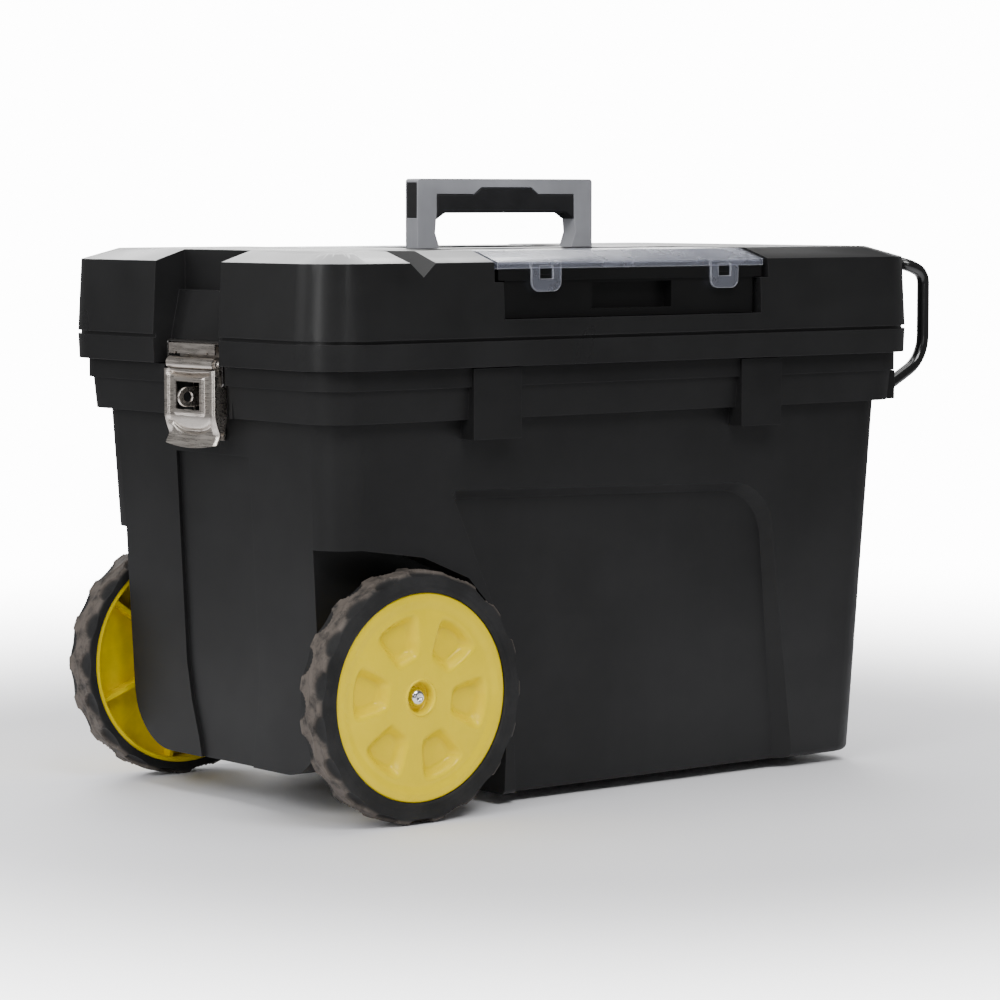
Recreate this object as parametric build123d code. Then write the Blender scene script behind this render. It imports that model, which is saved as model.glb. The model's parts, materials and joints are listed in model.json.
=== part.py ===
from build123d import *
import os
from math import cos, radians, sin

os.makedirs("parts", exist_ok=True)

# Rolling tool box: a moulded tub on two wheels, a lift-off lid with two organisers and a folding
# carry handle, a toggle latch at each end and a tow handle that slides out of the right end.
# Everything is modelled in the lid's frame: X along the box, the wheels at -X, the front at -Y,
# Z up from the floor. save() then moves each piece so that the origin is under the middle of the
# whole box.

# ---------------------------------------------------------------- driving dimensions, mm
wheel_diameter = 178.0
wheel_x = -189.4
wheel_outer_face_y = 160.8
tyre_width = 27.0
disc_radius = 73.7
tyre_lip = 9.3
rim_radius = 80.0
rim_wall = 3.5
hub_end_y = 123.3
axle_radius = 5.0
running_gap = 0.05

wall = 3.5
tub_bottom_z = 8.0
tub_top_z = 282.0
tub_half_length = (243.0, 257.0)
tub_half_width = (135.0, 149.0)
tub_corner_radius = (24.0, 28.0)

rim_bottom_z = 281.0
rim_bead_z = 304.0
lid_bottom_z = 318.0
tub_lip_z = 328.0
rim_half_length = (265.5, 267.5)
rim_half_width = (156.0, 158.0)
bead_half_length = 270.5
bead_half_width = 160.5

lid_half_length = 278.0
lid_half_width = 168.5
lid_corner_radius = 38.0
lid_band_z = 336.0
lid_block_z = 338.5
lid_shoulder_z = 391.0
lid_top_z = 399.0
lid_flat_half_length = 250.0
lid_flat_half_width = 140.0

# the right end stands this much further from the middle than the left end
right_reach = 15.0
plain_section_x = 205.0

latch_half_width = 32.0
latch_notch_half_width = 41.5
latch_wall_x = 257.0
latch_pivot_x = 270.3
latch_pivot_z = 318.6
barrel_radius = 4.7
sheet = 1.2
window_half_width = 15.0
window_z = (286.0, 305.5)
rail_width = 4.0
strike_z = (325.3, 332.7)
strike_x = (-272.8, -262.0)
strike_half_width = 29.0
strike_rivets_y = (-20.0, 20.0)
strike_rivet_z = 325.0
ear_y = (29.2, 30.5)
latch_pin_radius = 2.0
base_plate_x = (-258.5, -257.0)
base_half_width = 19.0
base_rivets = [(y, z) for y in (-13.0, 13.0) for z in (270.0, 281.0)]
base_rivet_radius = 2.0
bail_wire_radius = 1.15
bail_clearance = 0.65
bail_pivot = (-268.8, 303.6)
bail_top = (-270.2, 334.3)

pocket_half_length = 130.0
pocket_floor_z = 351.0
pocket_inner_y = 62.0
bin_half_length = 118.0
bin_front_y = 162.0
bin_back_y = 66.0
bin_top_z = 386.0
bin_wall = 2.0
clips_x = (-83.5, 86.0)
organiser_lid_half_length = 126.0
organiser_lid_front_y = 164.5
organiser_lid_top_z = 398.5
organiser_lid_setback = 7.0
organiser_hinge_y = 66.0
organiser_hinge_z = 393.5
hinge_barrel_radius = 3.2
hinge_pin_radius = 1.5
dividers_x = (-60.0, 0.0, 60.0)

handle_half_length = 84.0
handle_y = (-18.0, -3.0)
handle_pivot_z = 386.0
handle_top_z = 450.0
handle_leg_width = 18.0
handle_bar_height = 11.5
grip_thickness = 14.0
side_grip_depth = 2.5
pin_radius = 3.0

rod_radius = 4.8
rod_y = 135.0
rod_z = 292.5
rod_slide_gap = 0.1
tow_outer_x = 324.0
tow_crossbar_x = 303.0
tow_crossbar_z = 385.5
tow_inner_x = -195.0
tow_travel = 330.0
bush_radius = 7.5
stop_radius = 6.0
guide_x = (-205.0, 253.0)
guide_screws_x = (-180.0, 20.0, 240.0)
screw_radius = 1.6

tray_x = (-196.0, 20.0)
tray_half_width = 124.0
tray_floor_z = 238.0
tray_wall = 2.5

foot_x = 220.0
foot_y = 66.0

# the origin is halfway between the left staple's tip and the tow handle's outside
staple_tip_x = -284.5
origin_shift = -(staple_tip_x + tow_outer_x + rod_radius) / 2

guide_z = (rim_bottom_z + wall, rod_z + 8)
tray_flange_z = guide_z[1] + 0.2
stop_x = (tow_inner_x + 3, tow_inner_x + 11)
guide_mouth_x = stop_x[1] + tow_travel + 0.5
bail_y = latch_half_width + bail_clearance + bail_wire_radius

# cuts run out to these limits, clear of the whole box
beyond_x = 300.0
beyond_y = 200.0
below = -10.0
above = 420.0

sides = (("front", 1), ("back", -1))
ends = (("left", 1), ("right", -1))


# ---------------------------------------------------------------- helpers
def save(node, *solids):
    """Write one sub-part, or a group of identical ones, in the whole part's own frame."""
    placed = [Pos(origin_shift, 0, 0) * solid for solid in solids]
    export_step(placed[0] if len(placed) == 1 else Compound(children=placed), f"parts/{node}.step")


def box(x, y, z):
    """Block between three pairs of limits."""
    middle = [(a + b) / 2 for a, b in (x, y, z)]
    return Pos(*middle) * Box(*(abs(b - a) for a, b in (x, y, z)))


def rounded_stack(*sections):
    """Solid through rounded rectangles: (half length, half width, corner radius, height)."""
    faces = [Pos(0, 0, z) * RectangleRounded(2 * a, 2 * b, r) for a, b, r, z in sections]
    return loft(faces, ruled=True)


def prism_y(points, y):
    """Extrude an X-Z outline between two Y limits."""
    face = make_face(Plane.XZ * Polyline(*points, close=True))
    return Pos(0, y[0], 0) * extrude(face, y[1] - y[0], dir=(0, 1, 0))


def prism_x(points, x):
    """Extrude a Y-Z outline between two X limits."""
    face = make_face(Plane.YZ * Polyline(*points, close=True))
    return Pos(x[0], 0, 0) * extrude(face, x[1] - x[0], dir=(1, 0, 0))


def rod_along_y(radius, x, z, y):
    """Cylinder along Y between two limits."""
    return Pos(x, (y[0] + y[1]) / 2, z) * Rot(90, 0, 0) * Cylinder(radius, abs(y[1] - y[0]))


def rod_along_x(radius, y, z, x):
    """Cylinder along X between two limits."""
    return Pos((x[0] + x[1]) / 2, y, z) * Rot(0, 90, 0) * Cylinder(radius, abs(x[1] - x[0]))


def both_sides(shape):
    """The shape at the front and its mirror image at the back."""
    return shape + mirror(shape, Plane.XZ)


def both_ends(shape):
    """The shape at the left end and its mirror image at the right end."""
    return shape + mirror(shape, Plane.YZ)


def lengthen(shape):
    """Moves the right end out and fills the gap with the shape's own section."""
    y, z = (-beyond_y, beyond_y), (below, above)
    left = shape & box((-beyond_x, plain_section_x), y, z)
    right = shape & box((plain_section_x, beyond_x), y, z)
    longer = left + Pos(right_reach, 0, 0) * right
    for face in left.faces():
        if abs(face.bounding_box().min.X - plain_section_x) < 0.001:
            longer += extrude(face, right_reach, dir=(1, 0, 0))
    return longer


# ---------------------------------------------------------------- tub
tub_slope = (tub_half_length[1] - tub_half_length[0]) / (tub_top_z - tub_bottom_z)
floor_thickness = 4.0
well_wall_y = 118.0
well_depth_top_z = 193.0
belly_radius = 45.0
belly_floor_z = 30.0
panel_depth = 9.0
end_panel_depth = 3.0
tunnel_radius = 10.0


def tub_section(z, inset):
    """Rounded rectangle of the drafted tub at a height, set in by a wall."""
    rise = z - tub_bottom_z
    length = tub_half_length[0] + rise * tub_slope
    width = tub_half_width[0] + rise * tub_slope
    share = rise / (tub_top_z - tub_bottom_z)
    radius = tub_corner_radius[0] + share * (tub_corner_radius[1] - tub_corner_radius[0])
    return (length - inset, width - inset, radius - inset, z)


def wheel_well(grow):
    """Space for the front wheel, open to the end, the side and the floor."""
    roof = [
        (-beyond_x, well_depth_top_z + grow),
        (-229, well_depth_top_z + grow),
        (-176, 185 + grow),
        (-135 + grow / 2, 168 + grow),
        (-108 + grow, 140 + grow / 2),
        (-96 + grow, 105),
        (-96 + grow, below),
        (-beyond_x, below),
    ]
    return prism_y(roof, (-beyond_y, -well_wall_y + grow))


def belly_cut(grow):
    """Rounds the tub's lower corner between the wheels and lifts its underside there."""
    centre_y = -(well_wall_y - belly_radius)
    centre_z = belly_floor_z + belly_radius
    corner = box((-beyond_x, -96 + grow), (-beyond_y, centre_y), (below, centre_z))
    keep = rod_along_x(belly_radius - grow, centre_y, centre_z, (-beyond_x - 10, 0))
    underside = [(-beyond_x, below), (-beyond_x, belly_floor_z + grow), (-150, belly_floor_z + grow)]
    underside += [(-96 + grow, tub_bottom_z + grow), (-96 + grow, below)]
    return (corner - keep) + prism_y(underside, (-beyond_y, beyond_y))


def panel_outline(points, radii, level):
    """Closed outline with rounded corners on the front wall's own leaning plane."""
    leaning = Plane(
        origin=(0, -tub_half_width[0] + tub_bottom_z * tub_slope, 0),
        x_dir=(1, 0, 0),
        z_dir=(0, -1, -tub_slope),
    )
    outline = FilletPolyline(*points, radius=radii, close=True)
    return leaning * Pos(0, 0, level) * make_face(outline)


def front_panel(grow):
    """The large sunken panel of the front wall, with a sloping border on its right."""
    bottom = -20
    outer = [(-84, bottom), (-94, 110), (-154, 232), (150, 223.5), (192, bottom)]
    inner = [(-77, bottom), (-87, 108), (-146, 224), (147, 216), (178, bottom)]
    radii = [1, 90, 3, 42, 1]
    deep = [(x + (grow if x > 0 else -grow), z + (grow if z > 0 else 0)) for x, z in inner]
    wide = [(x + (grow if x > 0 else -grow), z + (grow if z > 0 else 0)) for x, z in outer]
    faces = [panel_outline(deep, radii, -panel_depth - grow), panel_outline(wide, radii, 0.5)]
    return loft(faces, ruled=True)


def end_panel(grow):
    """Shallow sunken panel down the middle of the left end wall, narrower at its foot."""
    half = 46.0 + grow
    high = 254.0 + grow
    right = [(half, high), (half, 100), (half - 4, 71), (half - 11, 44), (half - 20, below)]
    outline = right + [(-y, z) for y, z in reversed(right)]
    leaning = Plane(
        origin=(-tub_half_length[0] + tub_bottom_z * tub_slope, 0, 0),
        x_dir=(0, -1, 0),
        z_dir=(-1, 0, -tub_slope),
    )
    face = leaning * Pos(0, 0, 1) * make_face(Polyline(*outline, close=True))
    return extrude(face, 1 + end_panel_depth + grow, dir=(1, 0, tub_slope))


def latch_pad():
    """Upright wall that closes the rim behind a latch, wider where the lid's notch hangs over it."""
    low_half = latch_notch_half_width
    high_half = latch_notch_half_width + 8.5
    x = (-rim_half_length[1] + 1, -latch_wall_x + wall)
    low = box(x, (-low_half, low_half), (rim_bottom_z, lid_bottom_z - 1))
    return low + box(x, (-high_half, high_half), (lid_bottom_z - 4, tub_lip_z))


def latch_recess():
    """Gap in the rim that leaves the latch a flat upright wall and the lid's notch its room."""
    low_half = latch_notch_half_width - wall
    high_half = latch_notch_half_width + 5
    x = (-beyond_x, -latch_wall_x)
    low = box(x, (-low_half, low_half), (256, tub_lip_z + 1))
    return low + box(x, (-high_half, high_half), (lid_bottom_z - 1, tub_lip_z + 1))


def rim_tab(x):
    """Thick moulded tab that hangs from the rim."""
    return box(x, (-bead_half_width - 2.5, -147), (267, 317))


def tow_boss():
    """Square boss where a rod of the tow handle leaves the right end."""
    y = (-rod_y - 11, -rod_y + 11)
    return box((255, rim_half_length[1]), y, (rim_bottom_z, rim_bead_z - 1))


def tub_recesses(grow):
    """Every hollow in the tub's outside, grown by the wall to give its bump on the inside."""
    paired = [both_sides(make(grow)) for make in (wheel_well, belly_cut, front_panel)]
    return [*paired, end_panel(grow)]


def make_tub():
    """Thin-walled tub with its rim, wells, axle tunnel, bush holes and feet."""
    body = rounded_stack(tub_section(tub_bottom_z, 0), tub_section(tub_top_z, 0))
    bottom_edges = body.edges().group_by(Axis.Z)[0]
    body = fillet(bottom_edges, 5)
    rim = rounded_stack(
        (rim_half_length[0], rim_half_width[0], 28, rim_bottom_z),
        (rim_half_length[1], rim_half_width[1], 29, rim_bead_z),
    )
    bead = rounded_stack(
        (bead_half_length, bead_half_width, 31, rim_bead_z),
        (bead_half_length, bead_half_width, 31, lid_bottom_z - 0.6),
    )
    lip = rounded_stack(
        (bead_half_length - 1, bead_half_width - 1, 30, lid_bottom_z - 1),
        (bead_half_length - 1, bead_half_width - 1, 30, tub_lip_z),
    )
    outside = body + rim + bead + lip
    for x in ((-146, -103), (107, 147)):
        outside += both_sides(rim_tab(x))
    for recess in tub_recesses(0):
        outside -= recess

    cavity = rounded_stack(
        tub_section(tub_bottom_z + floor_thickness, wall), tub_section(rim_bottom_z + wall, wall)
    )
    cavity = fillet(cavity.edges().group_by(Axis.Z)[0], 6)
    for bump in tub_recesses(wall):
        cavity -= bump
    cavity += rounded_stack(
        (rim_half_length[0] - wall, rim_half_width[0] - wall, 24, rim_bottom_z + wall),
        (rim_half_length[1] - wall, rim_half_width[1] - wall, 25, tub_lip_z + 1),
    )
    tub = outside - cavity
    tub += both_ends(latch_pad())
    tub -= both_ends(latch_recess())
    tub += both_sides(tow_boss())

    # a tunnel carries the axle across the inside, on a web that stands on the floor
    inner_y = well_wall_y - wall + 1
    tunnel = rod_along_y(tunnel_radius, wheel_x, wheel_diameter / 2, (-inner_y, inner_y))
    web_z = (belly_floor_z + floor_thickness - 1, wheel_diameter / 2)
    web = box((wheel_x - 2, wheel_x + 2), (-50, 50), web_z)
    tub += tunnel + web
    boss_y = (-well_wall_y - 1.5, -well_wall_y + wall)
    tub += both_sides(rod_along_y(13, wheel_x, wheel_diameter / 2, boss_y))
    tub -= rod_along_y(axle_radius, wheel_x, wheel_diameter / 2, (-beyond_y, beyond_y))
    for y in (-rod_y, rod_y):
        tub -= rod_along_x(bush_radius, y, rod_z, (240, 300))
    tub = lengthen(tub)

    # two moulded feet carry the right end
    foot = rounded_stack((14, 24, 6, 0), (16, 26, 8, tub_bottom_z + 1))
    for y in (-foot_y, foot_y):
        tub += Pos(foot_x, y, 0) * foot
    return tub


save("tub", make_tub())


# ---------------------------------------------------------------- axle and wheels
def make_axle_cap():
    """Domed push-on cap at the front end of the axle."""
    dome = rod_along_y(7, 0, 0, (-157, -150.7)) & (Pos(0, -147.5, 0) * Sphere(10))
    return Pos(wheel_x, 0, wheel_diameter / 2) * (dome - rod_along_y(axle_radius, 0, 0, (-154, -140)))


def wheel_profile_ring(outer, inner, y):
    """Flat ring about the wheel's own axis."""
    return rod_along_y(outer, 0, 0, y) - rod_along_y(inner, 0, 0, (y[0] - 1, y[1] + 1))


def pocket_sector(low, high, half_angle, y):
    """Rounded sector between two radii, pointing up."""
    a = radians(half_angle)
    corners = [(low * sin(a), low * cos(a)), (high * sin(a), high * cos(a))]
    line = make_face(
        Plane.XZ
        * (
            Line((-corners[0][0], corners[0][1]), (-corners[1][0], corners[1][1]))
            + ThreePointArc((-corners[1][0], corners[1][1]), (0, high), corners[1])
            + Line(corners[1], corners[0])
            + ThreePointArc(corners[0], (0, low), (-corners[0][0], corners[0][1]))
        )
    )
    sector = Pos(0, y[0], 0) * extrude(line, y[1] - y[0], dir=(0, 1, 0))
    return fillet(sector.edges().filter_by(Axis.Y), 4)


def make_wheel():
    """Moulded disc with a hub, a deep rim and six sunken pockets in its outer face."""
    outer = -wheel_outer_face_y + 1.3
    lip_end = -wheel_outer_face_y + tyre_lip
    inner = -wheel_outer_face_y + tyre_width - 0.5
    wheel = wheel_profile_ring(disc_radius, disc_radius - 6, (outer + 1, lip_end + 1))
    wheel += wheel_profile_ring(disc_radius - 2, axle_radius, (outer, outer + 11))
    wheel += wheel_profile_ring(rim_radius, disc_radius - 6, (lip_end, outer + 11))
    wheel += wheel_profile_ring(rim_radius, rim_radius - rim_wall, (lip_end, inner))
    wheel += rod_along_y(15, 0, 0, (outer + 5, -hub_end_y))
    for k in range(6):
        pocket = pocket_sector(28, 58, 19, (outer - 1, outer + 7.5))
        wheel -= Rot(0, 60 * k - 22, 0) * pocket
        rib = box((-1.5, 1.5), (outer + 8, inner - 4), (10, rim_radius - 1))
        wheel += Rot(0, 60 * k + 8, 0) * rib
    wheel -= rod_along_y(11, 0, 0, (outer - 1, -150.3))
    wheel -= rod_along_y(axle_radius + running_gap, 0, 0, (-200, -100))
    return Pos(wheel_x, 0, wheel_diameter / 2) * wheel


def make_tyre():
    """Solid tyre with rounded shoulders and a lip that covers the disc's edge."""
    radius = wheel_diameter / 2
    face = -wheel_outer_face_y
    tyre = wheel_profile_ring(radius, disc_radius, (face, face + tyre_width))
    tread_edges = tyre.edges().filter_by(GeomType.CIRCLE).sort_by(lambda e: e.radius)[-2:]
    tyre = fillet(tread_edges, 5)
    tyre -= rod_along_y(rim_radius, 0, 0, (face + tyre_lip, 0))
    return Pos(wheel_x, 0, wheel_diameter / 2) * tyre


def make_washer():
    """Washer between a wheel and the tub."""
    ring = wheel_profile_ring(10, axle_radius + 0.1, (-121.6, -119.6))
    return Pos(wheel_x, 0, wheel_diameter / 2) * ring


save("axle", rod_along_y(axle_radius, wheel_x, wheel_diameter / 2, (-152, 152)))
save("axle_caps", make_axle_cap(), mirror(make_axle_cap(), Plane.XZ))
save("wheel_washers", make_washer(), mirror(make_washer(), Plane.XZ))
for side, sign in sides:
    for name, shape in (("wheel", make_wheel()), ("tyre", make_tyre())):
        save(f"{name}_{side}", shape if sign > 0 else mirror(shape, Plane.XZ))


# ---------------------------------------------------------------- lid
def organiser_pocket(grow):
    """Stepped pocket for the front organiser, open at the front face."""
    front = -lid_half_width - 5
    upper = box(
        (-pocket_half_length - grow, pocket_half_length + grow),
        (front, -pocket_inner_y + grow),
        (377 - grow, above),
    )
    lower = box(
        (-pocket_half_length + 8 - grow, pocket_half_length - 8 + grow),
        (front, -pocket_inner_y + grow),
        (pocket_floor_z - grow, above),
    )
    return upper + lower


def handle_recess(grow):
    """Well in the lid's top that the folded carry handle lies in."""
    half = handle_half_length + 4 + grow
    return box((-half, half), (-21 - grow, 57 + grow), (375.5 - grow, above))


def end_notch(grow):
    """Deep notch in the left end of the lid, with a slanting block at its back."""
    outline = [(-beyond_x, 300), (-beyond_x, above), (-250 + grow, above), (-250 + grow, 370 - grow)]
    outline += [(-255 + grow, 370 - grow), (-262 + grow, 337), (-262 + grow, 300)]
    half = latch_notch_half_width + grow
    return prism_y(outline, (-half, half))


def v_groove(grow):
    """Short groove in the lid's front shoulder that steadies a pipe while it is sawn."""
    top = lid_top_z + 6
    depth = top - 379 + grow
    half = depth * 1.15
    near = make_face(Plane.XZ * Polyline((-half, 0), (half, 0), (0, -depth), close=True))
    far = make_face(Plane.XZ * Polyline((-1, 0), (1, 0), (0, -1), close=True))
    return Pos(-192.5, 0, top) * loft([Pos(0, -175, 0) * near, Pos(0, -80, 0) * far], ruled=True)


def make_lid():
    """Thin-walled lid: a band, a groove, a drafted block and a bevelled top with its wells."""
    r = lid_corner_radius
    outside = rounded_stack(
        (lid_half_length - 0.8, lid_half_width - 0.8, r - 0.8, lid_bottom_z),
        (lid_half_length, lid_half_width, r, lid_band_z),
    )
    outside += rounded_stack(
        (lid_half_length - 2.5, lid_half_width - 2.5, r - 2.5, lid_band_z - 1),
        (lid_half_length - 2.5, lid_half_width - 2.5, r - 2.5, lid_block_z + 1),
    )
    outside += rounded_stack(
        (lid_half_length, lid_half_width, r, lid_block_z),
        (lid_half_length - 2.8, lid_half_width - 2.8, r - 2.8, lid_shoulder_z),
        (lid_flat_half_length, lid_flat_half_width, 16, lid_top_z),
    )
    cuts = [both_sides(organiser_pocket(0)), handle_recess(0), both_ends(end_notch(0)), v_groove(0)]
    for cut in cuts:
        outside -= cut

    skirt = lid_half_length - lid_half_width
    deep = lid_half_length - 6.2
    top_half = lid_flat_half_length - 2
    cavity = rounded_stack(
        (274, 274 - skirt, 34, lid_bottom_z - 1), (274, 274 - skirt, 34, tub_lip_z)
    )
    neck = (262, 262 - skirt, 24)
    cavity += rounded_stack((*neck, tub_lip_z - 1), (*neck, tub_lip_z + 4))
    cavity += rounded_stack(
        (deep, deep - skirt, r - 6, tub_lip_z + 3),
        (deep - 0.6, deep - 0.6 - skirt, r - 7, lid_shoulder_z - 3),
        (top_half, lid_flat_half_width - 2, 13, lid_top_z - wall),
    )
    bumps = [
        both_sides(organiser_pocket(3)),
        handle_recess(3),
        both_ends(end_notch(wall)),
        v_groove(wall),
    ]
    for bump in bumps:
        cavity -= bump
    lid = outside - cavity
    for x in (-1, 1):
        lid -= rod_along_x(pin_radius, sum(handle_y) / 2, handle_pivot_z, (x * 70, x * 100))
    return lengthen(lid)


save("lid", make_lid())


# ---------------------------------------------------------------- organisers
def make_bin():
    """Lift-out bin with a finger recess in its front wall and a ledge under its lid's hinge."""
    height = (pocket_floor_z + 0.4, bin_top_z)
    low = box((-bin_half_length, bin_half_length), (-bin_front_y, -bin_back_y), height)
    flange = box((-125, 125), (-bin_front_y - 2, -bin_back_y), (378, bin_top_z))
    outside = low + flange
    inner_x = bin_half_length - bin_wall
    inner_y = (-bin_front_y + bin_wall, -bin_back_y - bin_wall)
    cavity = box((-inner_x, inner_x), inner_y, (height[0] + bin_wall, bin_top_z + 1))
    recess = box((-38, 38), (-bin_front_y - 3, -bin_front_y + 9), (357, 376))
    backing = box((-40, 40), (-bin_front_y, -bin_front_y + 11), (355, 378))
    ledge_y = (-organiser_hinge_y - organiser_lid_setback - 2, -bin_back_y)
    ledge = box((-inner_x, inner_x), ledge_y, (bin_top_z - 2, bin_top_z))
    organiser = outside - cavity + backing - recess + ledge
    for x in clips_x:
        organiser += box((x - 5, x + 5), (-bin_front_y - 3, -bin_front_y - 1.9), (377, 382))
    for x in hinge_knuckles(1):
        organiser += hinge_knuckle(x)
        organiser += box(x, (-bin_back_y - 3, -bin_back_y), (bin_top_z - 1, organiser_hinge_z))
    pin = rod_along_x(hinge_pin_radius, -organiser_hinge_y, organiser_hinge_z, (-130, 130))
    return organiser - pin


def hinge_knuckles(which):
    """X limits of the organiser hinge's knuckles: 0 for the lid's, 1 for the bin's."""
    return [((x - 9.8), (x + 9.8)) for x in ((-70, -30, 30, 70), (-90, -50, 50, 90))[which]]


def hinge_knuckle(x):
    """One barrel of the organiser's hinge."""
    return rod_along_x(hinge_barrel_radius, -organiser_hinge_y, organiser_hinge_z, x)


def make_organiser_lid():
    """Clear lid with a down-turned rim, two clips at the front and a hinge at the back."""
    half = organiser_lid_half_length
    front = -organiser_lid_front_y
    rear = -organiser_hinge_y - organiser_lid_setback
    low = bin_top_z + 0.4
    top = organiser_lid_top_z
    over = [(front, low), (front, 391.0), (-140, top), (rear, top)]
    under = [(rear, top - 2), (-140.3, top - 2), (front + 1.6, 389.6), (front + 1.6, low)]
    lid = prism_x(over + under, (-half, half))
    cheek = over + [(rear, low)]
    for x in ((-half, -half + 1.6), (half - 1.6, half)):
        lid += prism_x(cheek, x)
    for x in clips_x:
        clip = box((x - 13.5, x + 13.5), (-166.8, -165.3), (370, 391))
        clip = fillet(clip.edges().filter_by(Axis.Y).group_by(Axis.Z)[0], 7)
        clip += box((x - 13.5, x + 13.5), (-166.8, -164), (387, 391))
        lid += clip - box((x - 6, x + 6), (-170, -164.6), (379, 388))
    for x in hinge_knuckles(0):
        arm = box(x, (rear - 1, -organiser_hinge_y), (395, top - 1.9))
        lid += arm + hinge_knuckle(x)
    hole = hinge_pin_radius + running_gap
    return lid - rod_along_x(hole, -organiser_hinge_y, organiser_hinge_z, (-half - 1, half + 1))


def make_divider(x):
    """Thin partition that drops into the bin."""
    y = (-bin_front_y + 12, -bin_back_y - bin_wall - 0.5)
    return box((x - 0.8, x + 0.8), y, (pocket_floor_z + bin_wall + 0.5, bin_top_z - 3))


def make_organiser_pin():
    """Pin through the organiser's hinge."""
    return rod_along_x(hinge_pin_radius, -organiser_hinge_y, organiser_hinge_z, (-99.8, 99.8))


for side, sign in sides:
    pieces = {
        "organiser_bin": [make_bin()],
        "organiser_lid": [make_organiser_lid()],
        "organiser_hinge_pin": [make_organiser_pin()],
        "organiser_dividers": [make_divider(x) for x in dividers_x],
    }
    for name, solids in pieces.items():
        save(f"{name}_{side}", *(s if sign > 0 else mirror(s, Plane.XZ) for s in solids))


# ---------------------------------------------------------------- carry handle
def handle_outline(points):
    """Extrude an X-Z outline through the handle's depth."""
    return prism_y(points, handle_y)


def grip_outline():
    """Outline of the soft grip under the top bar, with its raised middle and its end flares."""
    top = handle_top_z - handle_bar_height
    low = top - grip_thickness
    inner = handle_half_length - handle_leg_width
    right = [(24, top + 5), (31, top), (inner, top), (inner, low - 5), (inner - 8, low)]
    return right + [(-x, z) for x, z in reversed(right)]


def side_grip(sign):
    """Soft insert in the outer side of a leg."""
    outer = handle_half_length * sign
    x = (outer, outer - side_grip_depth * sign)
    return box(x, (handle_y[0] + 1.5, handle_y[1] - 1.5), (421, handle_top_z - 3))


def make_handle_frame():
    """Frame of the carry handle: a top bar and two legs with pivot holes."""
    top = handle_top_z
    inner = handle_half_length - handle_leg_width
    outline = [
        (-handle_half_length, handle_pivot_z),
        (-handle_half_length, top),
        (handle_half_length, top),
        (handle_half_length, handle_pivot_z),
        (inner - 3, handle_pivot_z),
        (inner - 3, 398),
        (inner + 1.5, 410),
        (inner, 425),
        (inner, top - handle_bar_height),
        (-inner, top - handle_bar_height),
        (-inner, 425),
        (-inner - 1.5, 410),
        (-inner + 3, 398),
        (-inner + 3, handle_pivot_z),
    ]
    frame = handle_outline(outline)
    frame = fillet(frame.edges().filter_by(Axis.Y).group_by(Axis.Z)[-1], 2.5)
    middle_y = sum(handle_y) / 2
    for x in (-1, 1):
        leg = (x * (inner - 3), x * handle_half_length)
        frame += rod_along_x(abs(handle_y[1] - handle_y[0]) / 2, middle_y, handle_pivot_z, leg)
        frame -= rod_along_x(pin_radius + running_gap, middle_y, handle_pivot_z, (x * 60, x * 90))
        frame -= side_grip(x)
    return frame - handle_outline(grip_outline())


def make_handle_pin():
    """Pivot pin at the left leg of the carry handle."""
    return rod_along_x(pin_radius, sum(handle_y) / 2, handle_pivot_z, (-90.5, -70))


save("carry_handle_frame", make_handle_frame())
save("carry_handle_grip", handle_outline(grip_outline()))
save("carry_handle_side_grips", side_grip(-1), side_grip(1))
save("carry_handle_pins", make_handle_pin(), mirror(make_handle_pin(), Plane.YZ))


# ---------------------------------------------------------------- latches
def make_latch_base():
    """Plate on the tub with two ears for the lever's pivot."""
    plate = box(base_plate_x, (-base_half_width, base_half_width), (264, 308))
    plate += box(base_plate_x, (-ear_y[1], ear_y[1]), (307, 316))
    for sign in (-1, 1):
        y = (sign * ear_y[0], sign * ear_y[1])
        arm = box((-latch_pivot_x, -latch_wall_x), y, (latch_pivot_z - 9, lid_bottom_z - 1))
        plate += arm + rod_along_y(3.4, -latch_pivot_x, latch_pivot_z, y)
    plate -= rod_along_y(latch_pin_radius, -latch_pivot_x, latch_pivot_z, (-40, 40))
    for y, z in base_rivets:
        plate -= rod_along_x(base_rivet_radius, y, z, base_plate_x)
    return plate


def make_latch_rivet(y, z):
    """Flat-headed rivet that holds the base plate on the tub."""
    shank = rod_along_x(base_rivet_radius, y, z, base_plate_x)
    return shank + rod_along_x(3.5, y, z, (base_plate_x[0] - 1.2, base_plate_x[0]))


def make_staple():
    """Eye that stands out through the lever's window for a padlock."""
    x = (base_plate_x[0], staple_tip_x + 7)
    eye = box(x, (-1.2, 1.2), (288, 302)) + rod_along_y(7, staple_tip_x + 7, 295, (-1.2, 1.2))
    return eye - rod_along_y(3.8, staple_tip_x + 8, 295, (-5, 5))


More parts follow.
